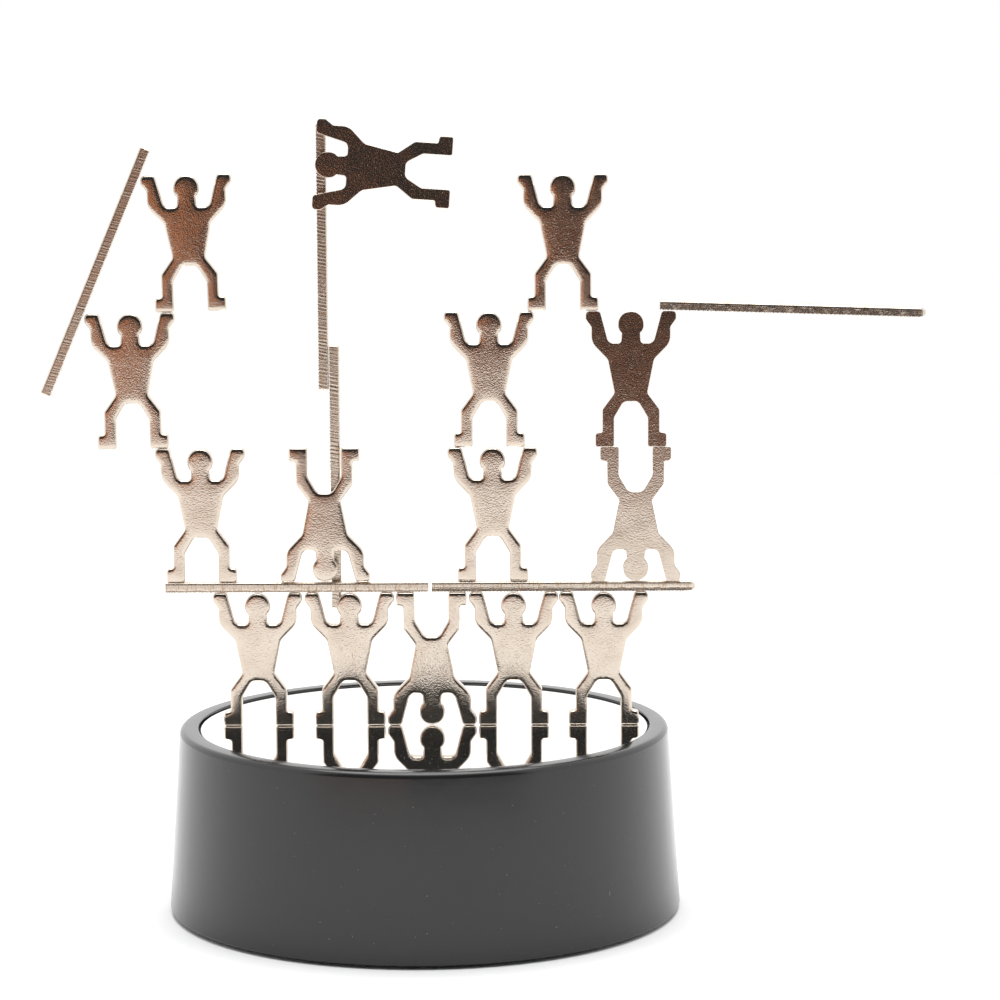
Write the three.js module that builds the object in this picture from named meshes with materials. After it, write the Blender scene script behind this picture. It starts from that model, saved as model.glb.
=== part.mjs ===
// A magnetic desk sculpture: stamped steel acrobats and square steel bars that
// build into towers on a mirror plate, held by a magnet inside a round base.
// Millimetres, +Z up, the front towards -Y, the origin under the base's middle.
import * as THREE from "three";

// Base
const BASE_HEIGHT = 29.6;
const PLATE_MARGIN = 1.72;
const RIM_WIDTH = 3;
const FLANK_TAPER = 1.9;
const RIM_ROUND = 0.9;
const LIP_ROUND = 0.15;
const FOOT_ROUND = 0.4;
const FOOT_LIFT = 0.5;
const SHELL_WALL = 2.2;
const ROOF_THICKNESS = 1.5;
const PLATE_DEPTH = 0.32;
const PLATE_THICKNESS = 1.5;
const PLATE_CLEARANCE = 0.3;
const PLATE_EDGE_BREAK = 0.2;
const MAGNET_SIDE_ROOM = 6.9;
const MAGNET_THICKNESS = 8;
const POCKET_CLEARANCE = 0.3;
const POCKET_WALL = 1.5;
const CLOSURE_THICKNESS = 1.6;
const CLOSURE_CLEARANCE = 0.25;
const POST_RADIUS = 6;
const PAD_THICKNESS = 1;
const TURNING_STEPS = 64;
const ROUND_STEPS = 3;

// Acrobat, as half of its outline from the middle line outwards
const FIGURE_HEIGHT = 21.5;
const FIGURE_THICKNESS = 2;
const HEAD_RADIUS = 2;
const HEAD_DIP = 0.1;
const NECK_HALF = 1.43;
const HEAD_FLARE = 0.6;
const NECK_DROP = 3.53;
const NECK_SPREAD = 0.12;
const SHOULDER_DROP = 5.1;
const ARMHOLE_HALF = 3.55;
const HAND_INNER = 4.88;
const HAND_OUTER = 7.12;
const HAND_DEPTH = 1.3;
const WRIST_DEPTH = 2.55;
const ARM_OUTER = 6.22;
const ELBOW_DROP = 5;
const ARMPIT_HALF = 3.65;
const ARMPIT_DROP = 7.65;
const WAIST_HALF = 2.58;
const WAIST_HEIGHT = 8.5;
const KNEE_HALF = 4.5;
const KNEE_HEIGHT = 5.9;
const ANKLE_HEIGHT = 2.3;
const FOOT_OUTER = 5.6;
const FOOT_INNER = 2.68;
const INSTEP_DROP = 0.15;
const THIGH_HEIGHT = 4.6;
const CROTCH_HALF = 1.15;
const CROTCH_HEIGHT = 7.2;
const CROWN_ROUND = 1.95;
const JAW_ROUND = 1.45;
const NECK_ROUND = 0.3;
const NECK_ROOT_ROUND = 0.5;
const ARMHOLE_ROUND = 1;
const PALM_ROUND = 0.65;
const HAND_HEEL_ROUND = 0.5;
const ELBOW_ROUND = 2.5;
const ARMPIT_ROUND = 1.5;
const JOINT_ROUND = 0.8;
const INSTEP_ROUND = 0.5;
const ANKLE_ROUND = 0.25;
const SOLE_ROUND = 0.35;
const THIGH_ROUND = 1.3;
const CROTCH_ROUND = 1.1;
const ARC_STEP = 45;

// Bars
const BAR_SIDE = 1.6;
const BAR_LENGTH = 42;

// How the pieces meet
const STACK_GAP = 0.06;
const SIDE_GAP = 0.1;
const NEST_GAP = 0.38;
const HANDS_GAP_LEFT = 0.41;
const HANDS_GAP_RIGHT = 0.14;
const PLANK_GAP = 0.5;
const ROW_CENTRE_X = 1.3;
const PLANK_JOIN_SHIFT = -0.2;
const PLANK_END_MARGIN = 0.3;
const INVERTED_FROM_PLANK_MIDDLE = 4.6;
const FOOTHOLD = 1.52;
const TOWER_SHIFT = -0.45;
const BRIDGE_SHIFT = 0.5;
const OUTER_SHIFT = 0.3;
const STEP_SHIFT = -0.36;
const LEFT_TOWER_LEAN = -0.8;
const TOP_LEFT_LEAN = -0.6;
const POLE_FROM_FIGURE = 1.64;
const POLE_TAIL = 2.8;
const POLE_OVERLAP = 6.9;
const FLAG_BELOW_POLE_TOP = 6.3;
const FLAG_HAND_PAST_POLE = 0.1;
const FLAG_DROOP = 4;
const LEANING_BAR_TAIL = 14.2;
const BOOM_TAIL = 2.6;
const BOOM_DROOP = 1.9;

// How far some acrobats tip back from the upright, in degrees: their faces look up.
const TIPS = {
  row2_figure_a: -0.5,
  row2_figure_b: 0.8,
  row2_figure_c: -0.5,
  row2_figure_d: 0.4,
  row3_figure_b: -0.6,
  row3_figure_c: 1,
  flag_figure: 1.2,
};

const COLOURS = {
  shell: [0x1b1b1c, 0.32, 0],
  plate: [0xe6e4e0, 0.06, 1],
  ferrite: [0x3a3836, 0.8, 0.1],
  closure: [0x222223, 0.6, 0],
  pad: [0x2a2523, 0.95, 0],
  nickel: [0xcdbfae, 0.22, 1],
  steel: [0xb9aea2, 0.3, 1],
};

const materials = Object.fromEntries(
  Object.entries(COLOURS).map(([name, [color, roughness, metalness]]) => [
    name,
    new THREE.MeshStandardMaterial({ color, roughness, metalness }),
  ]),
);

const radians = THREE.MathUtils.degToRad;

function named(name, geometry, material) {
  const mesh = new THREE.Mesh(geometry, materials[material]);
  mesh.name = name;
  return mesh;
}

// Points of an arc about (x, z), from one angle to another, both in degrees.
function arc(x, z, radius, from, to, steps = ROUND_STEPS) {
  return Array.from({ length: steps + 1 }, (_, i) => {
    const angle = radians(from + ((to - from) * i) / steps);
    return [x + radius * Math.cos(angle), z + radius * Math.sin(angle)];
  });
}

// A turned piece from its half section, listed anticlockwise as [radius, height].
function turned(name, section, material) {
  const profile = section.map(([r, z]) => new THREE.Vector2(r, z));
  const geometry = new THREE.LatheGeometry(profile, TURNING_STEPS);
  return named(name, geometry.rotateX(Math.PI / 2), material);
}

// Places across the sculpture: the bottom row is built outwards from its middle
// acrobat, and each tower stands where the planks and the stride put it.
const nestPitch = HAND_OUTER + FOOT_OUTER + NEST_GAP;
const handMiddle = (HAND_INNER + HAND_OUTER) / 2;
const footMiddle = (FOOT_INNER + FOOT_OUTER) / 2;
const stride = handMiddle + footMiddle;
const rowOnePlaces = {
  row1_figure_a: ROW_CENTRE_X - nestPitch - 2 * HAND_OUTER - HANDS_GAP_LEFT,
  row1_figure_b: ROW_CENTRE_X - nestPitch,
  row1_figure_c: ROW_CENTRE_X,
  row1_figure_d: ROW_CENTRE_X + nestPitch,
  row1_figure_e: ROW_CENTRE_X + nestPitch + 2 * HAND_OUTER + HANDS_GAP_RIGHT,
};
const plankJoinX = ROW_CENTRE_X + PLANK_JOIN_SHIFT;
const leftPlankX = plankJoinX - (PLANK_GAP + BAR_LENGTH) / 2;
const rightPlankX = plankJoinX + (PLANK_GAP + BAR_LENGTH) / 2;
const towerPitch = 2 * (HAND_OUTER + FOOT_OUTER - FOOTHOLD);
const leftTowerX = leftPlankX - BAR_LENGTH / 2 + FOOT_OUTER + PLANK_END_MARGIN;
const invertedX = leftPlankX + INVERTED_FROM_PLANK_MIDDLE;

// The base's radii, set by the bottom row: the plate reaches past its last foot.
const rowReach = Math.max(...Object.values(rowOnePlaces).map(Math.abs)) + FOOT_OUTER;
const recessRadius = rowReach + PLATE_MARGIN;
const shoulderRadius = recessRadius + RIM_WIDTH;
const footRadius = shoulderRadius + FLANK_TAPER;

// Heights up through the base
const plateTop = BASE_HEIGHT - PLATE_DEPTH;
const plateBottom = plateTop - PLATE_THICKNESS;
const recessFloor = plateBottom - STACK_GAP;
const roofUnderside = recessFloor - ROOF_THICKNESS;
const magnetTop = roofUnderside - STACK_GAP;
const magnetBottom = magnetTop - MAGNET_THICKNESS;
const closureBottom = PAD_THICKNESS + STACK_GAP;
const closureTop = closureBottom + CLOSURE_THICKNESS;
const flankTop = BASE_HEIGHT - RIM_ROUND;

// The flank's outer radius at a height: a straight cone from foot to shoulder.
function flankRadius(z) {
  const share = (z - FOOT_LIFT) / (flankTop - FOOT_LIFT);
  return THREE.MathUtils.lerp(footRadius, shoulderRadius, share);
}

const magnetRadius = flankRadius(roofUnderside) - SHELL_WALL - MAGNET_SIDE_ROOM;

function baseShell() {
  const footRoundTop = FOOT_LIFT + FOOT_ROUND;
  const pocketRadius = magnetRadius + POCKET_CLEARANCE;
  return turned(
    "base_shell",
    [
      [0, roofUnderside],
      [pocketRadius, roofUnderside],
      [pocketRadius, magnetBottom],
      [pocketRadius + POCKET_WALL, magnetBottom],
      [pocketRadius + POCKET_WALL, roofUnderside],
      [flankRadius(roofUnderside) - SHELL_WALL, roofUnderside],
      [footRadius - SHELL_WALL, FOOT_LIFT],
      ...arc(flankRadius(footRoundTop) - FOOT_ROUND, footRoundTop, FOOT_ROUND, -90, 0),
      ...arc(shoulderRadius - RIM_ROUND, flankTop, RIM_ROUND, 0, 90),
      ...arc(recessRadius + LIP_ROUND, BASE_HEIGHT - LIP_ROUND, LIP_ROUND, 90, 180),
      [recessRadius, recessFloor],
      [0, recessFloor],
    ],
    "shell",
  );
}

function mirrorPlate() {
  const radius = recessRadius - PLATE_CLEARANCE;
  return turned(
    "mirror_plate",
    [
      [0, plateBottom],
      [radius, plateBottom],
      ...arc(radius - PLATE_EDGE_BREAK, plateTop - PLATE_EDGE_BREAK, PLATE_EDGE_BREAK, 0, 90),
      [0, plateTop],
    ],
    "plate",
  );
}

function ferriteMagnet() {
  const section = [
    [0, magnetBottom],
    [magnetRadius, magnetBottom],
    [magnetRadius, magnetTop],
    [0, magnetTop],
  ];
  return turned("ferrite_magnet", section, "ferrite");
}

// The cover that closes the base, with an upright post that carries the magnet.
function baseClosure() {
  const radius = footRadius - SHELL_WALL - CLOSURE_CLEARANCE;
  const postTop = magnetBottom - STACK_GAP;
  return turned(
    "base_closure",
    [
      [0, closureBottom],
      [radius, closureBottom],
      [flankRadius(closureTop) - SHELL_WALL - CLOSURE_CLEARANCE, closureTop],
      [POST_RADIUS, closureTop],
      [POST_RADIUS, postTop],
      [0, postTop],
    ],
    "closure",
  );
}

function footPad() {
  const radius = footRadius - SHELL_WALL - CLOSURE_CLEARANCE;
  const section = [
    [0, 0],
    [radius, 0],
    [radius, PAD_THICKNESS],
    [0, PAD_THICKNESS],
  ];
  return turned("foot_pad", section, "pad");
}

// Half of the acrobat's outline as [x, z, corner radius], down the right side
// from the crown of the head to the crotch.
const halfOutline = [
  [HEAD_RADIUS, FIGURE_HEIGHT - HEAD_DIP, CROWN_ROUND],
  [HEAD_RADIUS, FIGURE_HEIGHT - NECK_DROP + HEAD_FLARE, JAW_ROUND],
  [NECK_HALF, FIGURE_HEIGHT - NECK_DROP, NECK_ROUND],
  [NECK_HALF + NECK_SPREAD, FIGURE_HEIGHT - SHOULDER_DROP, NECK_ROOT_ROUND],
  [ARMHOLE_HALF, FIGURE_HEIGHT - SHOULDER_DROP, ARMHOLE_ROUND],
  [HAND_INNER, FIGURE_HEIGHT, PALM_ROUND],
  [HAND_OUTER, FIGURE_HEIGHT, PALM_ROUND],
  [HAND_OUTER, FIGURE_HEIGHT - HAND_DEPTH, HAND_HEEL_ROUND],
  [ARM_OUTER, FIGURE_HEIGHT - WRIST_DEPTH, JOINT_ROUND],
  [ARM_OUTER, FIGURE_HEIGHT - ELBOW_DROP, ELBOW_ROUND],
  [ARMPIT_HALF, FIGURE_HEIGHT - ARMPIT_DROP, ARMPIT_ROUND],
  [WAIST_HALF, WAIST_HEIGHT, JOINT_ROUND],
  [KNEE_HALF, KNEE_HEIGHT, JOINT_ROUND],
  [KNEE_HALF, ANKLE_HEIGHT, ANKLE_ROUND],
  [FOOT_OUTER, ANKLE_HEIGHT - INSTEP_DROP, INSTEP_ROUND],
  [FOOT_OUTER, 0, SOLE_ROUND],
  [FOOT_INNER, 0, SOLE_ROUND],
  [FOOT_INNER, THIGH_HEIGHT, THIGH_ROUND],
  [CROTCH_HALF, CROTCH_HEIGHT, CROTCH_ROUND],
];

// Replaces each corner of a closed outline by an arc that touches both sides.
function rounded(corners) {
  return corners.flatMap(([x, z, radius], i) => {
    const corner = new THREE.Vector2(x, z);
    const before = new THREE.Vector2(...corners.at(i - 1)).sub(corner).normalize();
    const after = new THREE.Vector2(...corners[(i + 1) % corners.length]).sub(corner).normalize();
    const half = Math.acos(before.dot(after)) / 2;
    const middle = before.clone().add(after).normalize();
    const centre = corner.clone().addScaledVector(middle, radius / Math.sin(half));
    const turn = Math.PI - 2 * half;
    const steps = Math.max(1, Math.round(turn / radians(ARC_STEP)));
    const side = Math.sign(before.cross(after));
    const start = corner.clone().addScaledVector(before, radius / Math.tan(half));
    return Array.from({ length: steps + 1 }, (_, k) =>
      start.clone().rotateAround(centre, (-side * turn * k) / steps),
    );
  });
}

// The acrobat stands on z = 0 with its thickness across y = 0.
function figureGeometry() {
  const left = halfOutline.map(([x, z, radius]) => [-x, z, radius]).reverse();
  const outline = new THREE.Shape(rounded([...halfOutline, ...left]));
  const options = { depth: FIGURE_THICKNESS, bevelEnabled: false };
  const geometry = new THREE.ExtrudeGeometry(outline, options);
  return geometry.rotateX(Math.PI / 2).translate(0, FIGURE_THICKNESS / 2, 0);
}

const acrobat = figureGeometry();

// Places an acrobat by its middle line and lowest height. An upended one stands
// on its hands. A lean in degrees turns it about the contact point at pivotX, and
// its tip leaves its top in line with the tower.
function figure(name, { x, z, upended = false, lean = 0, pivotX = 0 }) {
  const mesh = named(name, acrobat, "nickel");
  if (upended) {
    mesh.rotation.y = Math.PI;
    mesh.position.z = FIGURE_HEIGHT;
  }
  mesh.position.x = -pivotX;
  const stand = new THREE.Group().add(mesh);
  const tip = radians(TIPS[name] ?? 0);
  stand.position.set(x + pivotX, -FIGURE_HEIGHT * Math.sin(tip), z);
  stand.rotation.set(-tip, radians(lean), 0);
  return stand;
}

// A bar by its middle point, its length along x when upright is false.
function bar(name, [x, y, z], { upright = false, turn = 0 } = {}) {
  const size = upright ? [BAR_SIDE, BAR_SIDE, BAR_LENGTH] : [BAR_LENGTH, BAR_SIDE, BAR_SIDE];
  const mesh = named(name, new THREE.BoxGeometry(...size), "steel");
  mesh.position.set(x, y, z);
  mesh.rotation.y = turn;
  return mesh;
}

// Heights up the towers
const rowHeight = FIGURE_HEIGHT + STACK_GAP;
const rowOne = plateTop + STACK_GAP;
const plankBottom = rowOne + rowHeight;
const rowTwo = plankBottom + BAR_SIDE + STACK_GAP;
const rowThree = rowTwo + rowHeight;
const rowFour = rowThree + rowHeight;

// Row one stands on the plate and carries both planks.
function rowOneFigures() {
  return Object.entries(rowOnePlaces).map(([name, x]) =>
    figure(name, { x, z: rowOne, upended: name === "row1_figure_c" }),
  );
}

// The left tower climbs in steps: each acrobat stands with one foot on a hand.
// The leaning bar touches the outer hands of its upper two acrobats.
function leftTower() {
  const stepX = leftTowerX - stride + STEP_SHIFT;
  const lower = figure("row2_figure_a", { x: leftTowerX, z: rowTwo });
  const middle = figure("row3_figure_a", {
    x: stepX,
    z: rowThree,
    lean: LEFT_TOWER_LEAN,
    pivotX: FOOT_INNER,
  });
  const upper = figure("row4_figure_a", {
    x: stride + STEP_SHIFT - FOOT_INNER,
    z: rowHeight,
    lean: TOP_LEFT_LEAN,
    pivotX: -FOOT_OUTER,
  });
  middle.add(upper);
  const tower = new THREE.Group().add(lower, middle);
  tower.add(leaningBar(middle, upper));
  return tower;
}

function leaningBar(lowerStand, upperStand) {
  lowerStand.updateMatrixWorld(true);
  const [low, high] = [lowerStand, upperStand].map((stand) =>
    stand.children[0].localToWorld(new THREE.Vector3(-HAND_OUTER, 0, FIGURE_HEIGHT)),
  );
  const along = high.sub(low).normalize();
  const outwards = new THREE.Vector3(-along.z, 0, along.x);
  const middle = low
    .addScaledVector(outwards, BAR_SIDE / 2 + SIDE_GAP)
    .addScaledVector(along, BAR_LENGTH / 2 - LEANING_BAR_TAIL);
  return bar("leaning_bar", middle.toArray(), { upright: true, turn: Math.atan2(along.x, along.z) });
}

// The right-hand towers stand either side of the plank's middle, a bridging
// acrobat joins them, and the boom bar rests on the last raised hand.
function rightTowers() {
  const innerX = rightPlankX - towerPitch / 2;
  const outerX = rightPlankX + towerPitch / 2;
  const topX = rightPlankX + TOWER_SHIFT + BRIDGE_SHIFT;
  return new THREE.Group().add(
    figure("row2_figure_c", { x: innerX, z: rowTwo }),
    figure("row2_figure_d", { x: outerX + OUTER_SHIFT, z: rowTwo, upended: true }),
    figure("row3_figure_b", { x: innerX + TOWER_SHIFT, z: rowThree }),
    figure("row3_figure_c", { x: outerX + TOWER_SHIFT, z: rowThree }),
    figure("row4_figure_b", { x: topX, z: rowFour }),
    boomBar(outerX + TOWER_SHIFT + HAND_OUTER),
  );
}

// The boom droops about the outer edge of the hand that holds it.
function boomBar(handEdgeX) {
  const boom = bar("boom_bar", [BAR_LENGTH / 2 - BOOM_TAIL, 0, BAR_SIDE / 2]);
  const hold = new THREE.Group().add(boom);
  hold.position.set(handEdgeX, 0, rowFour);
  hold.rotation.y = radians(BOOM_DROOP);
  return hold;
}

// Two upright bars, side by side where they overlap, cling behind the inverted
// acrobat. The flag acrobat grips the front of the upper one and lies outwards.
function poles() {
  const lowerX = invertedX + POLE_FROM_FIGURE;
  const upperX = lowerX - BAR_SIDE - SIDE_GAP;
  const y = FIGURE_THICKNESS / 2 + SIDE_GAP + BAR_SIDE / 2;
  const lowerMiddle = plankBottom - POLE_TAIL + BAR_LENGTH / 2;
  const upperMiddle = lowerMiddle + BAR_LENGTH - POLE_OVERLAP;
  const handsLineZ = upperMiddle + BAR_LENGTH / 2 - FLAG_BELOW_POLE_TOP;
  const flag = new THREE.Group().add(named("flag_figure", acrobat, "nickel"));
  flag.children[0].position.z = -FIGURE_HEIGHT;
  const tip = radians(TIPS.flag_figure);
  const flagX = upperX - BAR_SIDE / 2 - FLAG_HAND_PAST_POLE;
  flag.position.set(flagX, -HAND_OUTER * Math.sin(tip), handsLineZ);
  flag.rotation.set(-tip, radians(FLAG_DROOP - 90), 0);
  return new THREE.Group().add(
    bar("lower_pole", [lowerX, y, lowerMiddle], { upright: true }),
    bar("upper_pole", [upperX, y, upperMiddle], { upright: true }),
    flag,
  );
}

function planks() {
  const z = plankBottom + BAR_SIDE / 2;
  return [bar("left_plank", [leftPlankX, 0, z]), bar("right_plank", [rightPlankX, 0, z])];
}

const sculpture = new THREE.Group().add(
  baseShell(),
  mirrorPlate(),
  ferriteMagnet(),
  baseClosure(),
  footPad(),
  ...rowOneFigures(),
  ...planks(),
  figure("row2_figure_b", { x: invertedX, z: rowTwo, upended: true }),
  leftTower(),
  rightTowers(),
  poles(),
);

export default sculpture;
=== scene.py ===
"""Magnetic desk sculpture: stamped acrobats and sheared bars in towers on a mirror-topped magnetic base.

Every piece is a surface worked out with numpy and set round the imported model, which gives its place. Sizes
are metres in the settings and millimetres in the tables below, +Z is up and the front faces -Y.
"""

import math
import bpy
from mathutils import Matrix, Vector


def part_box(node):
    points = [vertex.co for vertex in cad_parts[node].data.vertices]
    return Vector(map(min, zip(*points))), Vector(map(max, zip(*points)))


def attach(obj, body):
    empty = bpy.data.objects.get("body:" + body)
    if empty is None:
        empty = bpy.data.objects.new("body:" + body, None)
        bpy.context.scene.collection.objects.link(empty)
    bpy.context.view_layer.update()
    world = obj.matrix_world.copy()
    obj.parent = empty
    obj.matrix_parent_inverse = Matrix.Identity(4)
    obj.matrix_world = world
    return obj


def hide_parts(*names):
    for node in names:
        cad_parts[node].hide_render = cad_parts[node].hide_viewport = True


bl_info = {
    "name": "Magnetic desk sculpture",
    "version": (1, 0, 0),
    "blender": (4, 5, 0),
    "location": "3D View > Sidebar > Sculpture",
    "description": "Builds the stamped acrobats, sheared bars and mirror-topped base of a desk sculpture",
    "category": "Add Mesh",
}

import bmesh
import bpy
import numpy as np
from mathutils import Matrix, Vector
from mathutils.geometry import delaunay_2d_cdt

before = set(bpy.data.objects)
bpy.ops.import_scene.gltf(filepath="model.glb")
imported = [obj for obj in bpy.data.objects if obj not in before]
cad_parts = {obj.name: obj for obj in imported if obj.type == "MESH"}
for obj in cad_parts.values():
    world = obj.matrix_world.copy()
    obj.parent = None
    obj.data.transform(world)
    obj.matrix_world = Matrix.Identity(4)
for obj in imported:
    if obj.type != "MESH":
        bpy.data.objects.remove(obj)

MM = 0.001
PLACE_DIGITS = 6

# ---------------------------------------------------------------- sizes of the acrobats, in millimetres

# Half of an acrobat's outline from the middle line outwards: across, up, corner radius.
HALF_OUTLINE = (
    (2.0, 21.4, 1.95),  # crown of the head
    (2.0, 18.57, 1.45),  # jaw
    (1.43, 17.97, 0.3),  # top of the neck
    (1.55, 16.4, 0.5),  # root of the neck
    (3.55, 16.4, 1.0),  # shoulder
    (4.88, 21.5, 0.65),  # inner edge of the hand
    (7.12, 21.5, 0.65),  # outer edge of the hand
    (7.12, 20.2, 0.5),  # heel of the hand
    (6.22, 18.95, 0.8),  # wrist
    (6.22, 16.5, 2.5),  # elbow
    (3.65, 13.85, 1.5),  # armpit
    (2.58, 8.5, 0.8),  # waist
    (4.5, 5.9, 0.8),  # knee
    (4.5, 2.3, 0.25),  # ankle
    (5.6, 2.15, 0.5),  # toe
    (5.6, 0.0, 0.35),  # tip of the sole
    (2.68, 0.0, 0.35),  # heel
    (2.68, 4.6, 1.3),  # inside of the thigh
    (1.15, 7.2, 1.1),  # crotch
)
CORNER_STEPS = 8
OUTLINE_STEP = 0.2
GRID_STEP = 0.2
INSIDE_REACH = GRID_STEP / 10
INSIDE_SHARE = 0.5
CDT_INSIDE = 1
CDT_NEAR = 1e-6
LEAST_CORNER = 0.05
ROLL_STEPS = 9
BREAK_STEPS = 3
FLAT_RING = 0.03
WALL_HOLD = 0.06
SHARP_ANGLE = math.radians(40)
OWN_PLACE = "own_place"
PATTERN_SHIFT = 37.0

# The acrobats whose flat, sharp face is to the front. The others show the face that the punch rounded.
FLAT_FACE_FRONT = ("row2_figure_d", "row3_figure_c", "flag_figure")
FIGURES = sorted(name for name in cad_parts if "figure" in name)

# ---------------------------------------------------------------- sizes of the bars, in millimetres

BAR_RING_PITCH = 0.07
BAR_ARC_STEPS = 5
BAR_FACE_STEPS = 16
BAR_SHARP_CORNER = 0.07
BAR_END_ROUND = 0.12
BAR_TIP_MOST = 0.72
RIDGE_PITCH = 0.46
RIDGE_SLANT = 0.2
BREAK_SWING = 0.06
BREAK_WAVE = 2.6
FINE_SWING = 0.03
FINE_WAVE = 0.7
BREAK_GROOVE = 0.13
GRAIN_PITCH = 0.36
TORN_DEPTH = 0.012
FACE_SINK = 0.015
CUT_FACE_FROM = 0.75
BURR_DEPTH = 0.09
BURR_PITCH = 0.45
SEED_STEP = 10
CUT_SEEDS = 5
RIPPLE_WAVES = 6
RIPPLE_SPREAD = (0.6, 1.6)
BACKWARD = np.array([0.0, 1.0, 0.0])

# Each bar: which way its rounded edges face along its side axis, where its break line runs from the middle
# towards them as a share of the half width, the line's depth and the ridges' depth, how far its far end is
# rounded, and the radius of its rounded edges.
BARS = {
    "left_plank": (1, -0.55, 0.02, 0.0006, 0.2, 0.34),
    "right_plank": (1, -0.2, 0.06, 0.0008, 1.2, 0.34),
    "leaning_bar": (1, 0.9, 0.02, 0.005, 0.2, 0.34),
    "boom_bar": (1, 0.2, 0.06, 0.001, 1.3, 0.74),
    "lower_pole": (-1, 0.9, 0.02, 0.006, 0.2, 0.34),
    "upper_pole": (-1, 0.9, 0.02, 0.006, 0.2, 0.34),
}

# ---------------------------------------------------------------- sizes of the base, in millimetres

TURNING_STEPS = 256
ROUND_STEPS = 8
PLATE_CLEARANCE = 0.3
RIM_WIDTH = 3.0
RIM_ROUND = 0.9
LIP_ROUND = 0.15
FOOT_ROUND = 0.4
SHELL_WALL = 2.2
SEAT_GAP = 0.06
ROOF_THICKNESS = 1.5
POCKET_CLEARANCE = 0.3
POCKET_WALL = 1.5
PLATE_EDGE_BREAK = 0.2
MAGNET_CHAMFER = 0.5
CLOSURE_THICKNESS = 1.6
POST_RADIUS = 6.0
SMALL_ROUND = 0.15
BASE_BODY = "base"
BASE_NODES = ("base_shell", "mirror_plate", "ferrite_magnet", "base_closure", "foot_pad")

# ---------------------------------------------------------------- camera and surroundings

CAMERA_PLACE = (15.88, -531.42, 134.28)
CAMERA_PITCH = 0.1286
CAMERA_YAW = -0.0067
CAMERA_ROLL = -0.005
SENSOR_WIDTH = 36.0
LENS = 121.32
FLOOR_RADIUS = 0.59
FLOOR_RINGS = 40
FLOOR_SINK = 0.02
FLOOR_THICKNESS = 3.0
OVERHEAD_SIZE = 1.2
OVERHEAD_PLACE = (0.0, 0.15, 1.3)

# The unlit room: bearings in radians, heights as the sine of the elevation.
ROOM_EDGE = 1.0
ROOM_FADE = 0.25
ROOM_FLOOR = (-0.3, -0.2)
ROOM_CEILING = (0.72, 0.9)
LOW_GLOW_SPAN = (-0.07, -0.044)
SIDE_GLOW_SPAN = (-0.1, -0.074)
SIDE_GLOW_FOOT = (-0.095, -0.06)
SIDE_GLOW_RISE = (-0.028, 0.017)

# ---------------------------------------------------------------- finishes

# Heights in metres, and shades as a share of the colour that they darken or lighten.
NICKEL_WAVE_HEIGHT = 0.00003
NICKEL_FACE_DEPTH = 0.0009
FLAT_FACE_GRAIN = 0.5
BLUSH_SHADE = (0.96, 0.94, 0.92)
STAIN_SHADE = (0.8, 0.66, 0.5)
DUST_COLOUR = (0.1, 0.1, 0.1)
PLASTIC_IOR = 1.5
PATCH_BLUR_MEAN = 0.1
SCUFF_HEIGHT = 0.000004
SHELL_RIPPLE_HEIGHT = 0.00003
WIPE_SHADE = 0.985
MIRROR_BLUR = 0.012
MIRROR_WAVE_HEIGHT = 0.000008
COLOUR_SOCKETS = {"Factor": 0, "A": 6, "B": 7}
COLOUR_RESULT = 2

# The dull stuffs with one speckle each: its pitch in millimetres, its octaves and their strength, the
# colour's shade where it is strong, the blur without it and the change that it brings, and its height in
# metres. A window is the range of the speckle that counts.
DULL = {
    "sintered_ferrite": {
        "pitch": 0.4, "detail": 4.0, "roughness": 0.7,
        "shade": 1.9, "blur": 0.6, "change": 0.3, "height": 0.00006,
    },
    "cover_plastic": {
        "pitch": 0.3, "detail": 1.0, "roughness": 0.5,
        "shade": 1.6, "blur": 0.5, "change": 0.2, "height": 0.00004,
    },
    "pad_rubber": {
        "pitch": 0.35, "detail": 2.0, "roughness": 0.5, "window": (0.55, 0.7),
        "shade": 0.5, "blur": 0.92, "change": -0.1, "height": -0.0001,
    },
    "floor_paper": {
        "pitch": 1.5, "detail": 3.0, "roughness": 0.5,
        "shade": 0.985, "blur": 0.9, "change": 0.0, "height": 0.00001,
    },
}


# ================================================================ settings


def colour_setting(name, description, default):
    """A colour that the sidebar shows as a swatch."""
    return bpy.props.FloatVectorProperty(
        name=name, description=description, default=default, size=3, min=0.0, max=1.0, subtype="COLOR"
    )


def length_setting(name, description, default):
    """A length in metres."""
    return bpy.props.FloatProperty(
        name=name,
        description=description,
        default=default,
        min=0.0,
        subtype="DISTANCE",
        unit="LENGTH",
        precision=5,
    )


def share_setting(name, description, default):
    """A share from nought to one."""
    return bpy.props.FloatProperty(
        name=name, description=description, default=default, min=0.0, max=1.0, subtype="FACTOR"
    )


class AcrobatSettings(bpy.types.PropertyGroup):
    """What a user would change on the stamped acrobats."""

    roll_reach: length_setting("Roll reach", "How far in the punch's rounding reaches", 0.00025)
    roll_depth: length_setting("Roll depth", "How far the surface falls in that rounding", 0.00025)
    dome_reach: length_setting("Dome reach", "How far the slow doming of the body reaches in", 0.0011)
    dome_depth: length_setting("Dome depth", "How far the surface falls in that doming", 0.00012)
    edge_round: length_setting("Edge round", "Radius of the rounded face's outermost edge", 0.00022)
    edge_break: length_setting("Edge break", "Rounding of the sharp face's edge", 0.00006)
    colour: colour_setting("Nickel", "Colour of the plated steel", (0.625, 0.545, 0.465))
    roughness: share_setting("Roughness", "Blur of the plating's reflections", 0.08)
    grain: length_setting("Grain height", "Height of the plating's grain", 0.000014)


class BarSettings(bpy.types.PropertyGroup):
    """What a user would change on the sheared bars."""

    colour: colour_setting("Steel", "Colour of the plated bar", (0.63, 0.55, 0.47))
    roughness: share_setting("Roughness", "Blur of the bar's reflections", 0.26)
    grain: length_setting("Grain height", "Height of the cut faces' grain", 0.000012)


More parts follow.
